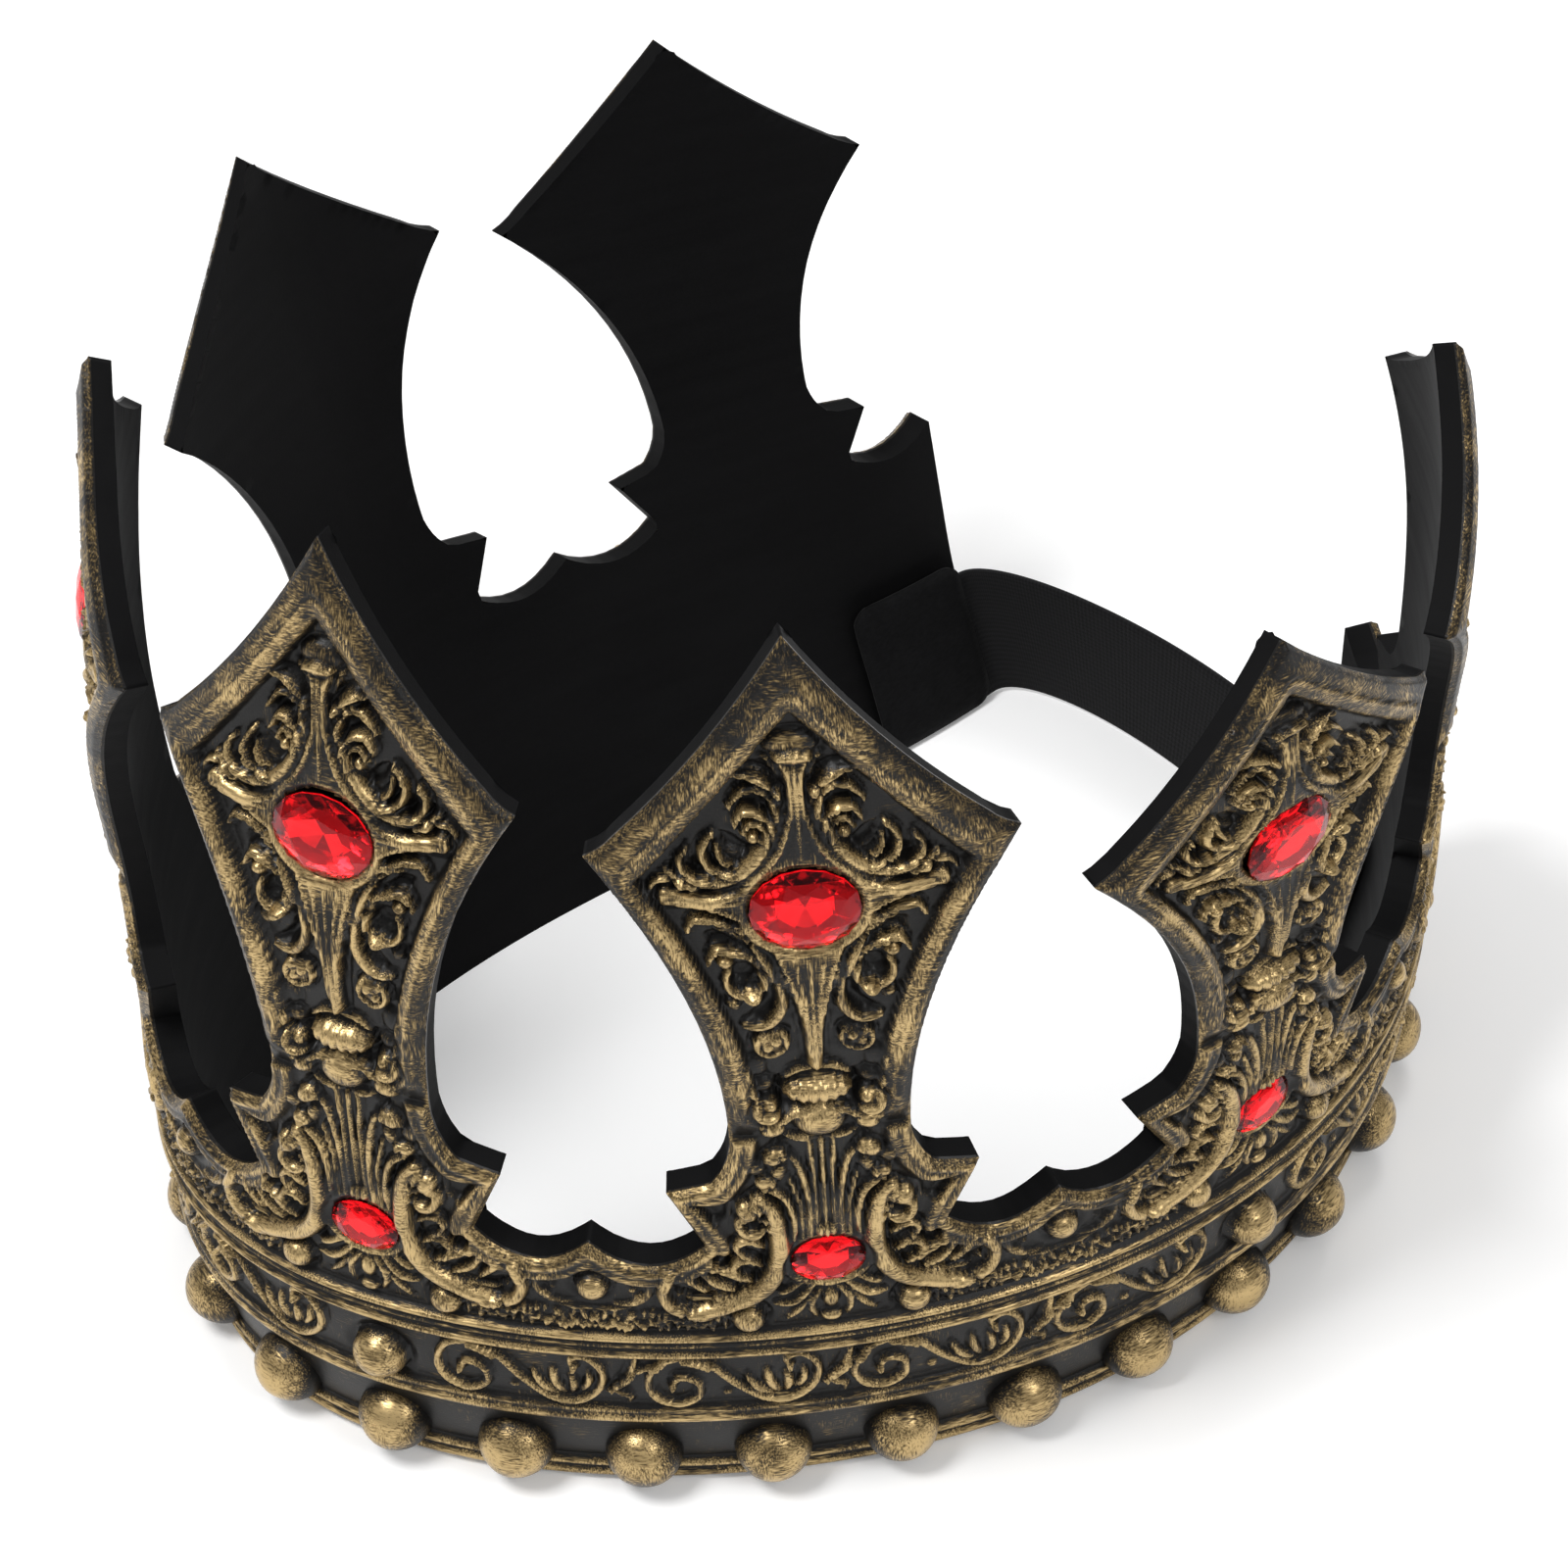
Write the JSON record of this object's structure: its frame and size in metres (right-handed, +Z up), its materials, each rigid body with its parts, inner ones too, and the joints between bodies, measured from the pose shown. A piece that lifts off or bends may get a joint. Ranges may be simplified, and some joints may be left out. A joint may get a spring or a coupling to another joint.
{
  "type": "costume crown",
  "caption": "Costume crown: a moulded black and gold band with tall kite-shaped points, faceted red gems and an elastic strap that closes the open back.",
  "frame": {"origin": "bottom centre of the bounding box, on the plane that the base rim stands on", "axes": "+Z up, the middle point faces -Y, the strap is at the back (+Y)"},
  "size_m": [0.2411, 0.2381, 0.209],
  "materials": {
    "shell": "black polyurethane foam with antique gold dry-brushed over the raised relief, smooth matt black inside",
    "gem": "clear red acrylic, faceted, foil backed",
    "strap": "flat black woven elastic",
    "patch": "black felt"
  },
  "bodies": {
    "root": {"crown_shell": "shell", "large_gem_1": "gem", "large_gem_2": "gem", "large_gem_3": "gem", "large_gem_4": "gem", "large_gem_5": "gem", "large_gem_6": "gem", "large_gem_7": "gem", "small_gem_1": "gem", "small_gem_2": "gem", "small_gem_3": "gem", "small_gem_4": "gem", "small_gem_5": "gem", "small_gem_6": "gem", "small_gem_7": "gem", "elastic_strap": "strap", "strap_patch_left": "patch", "strap_patch_right": "patch"}
  },
  "joints": []
}
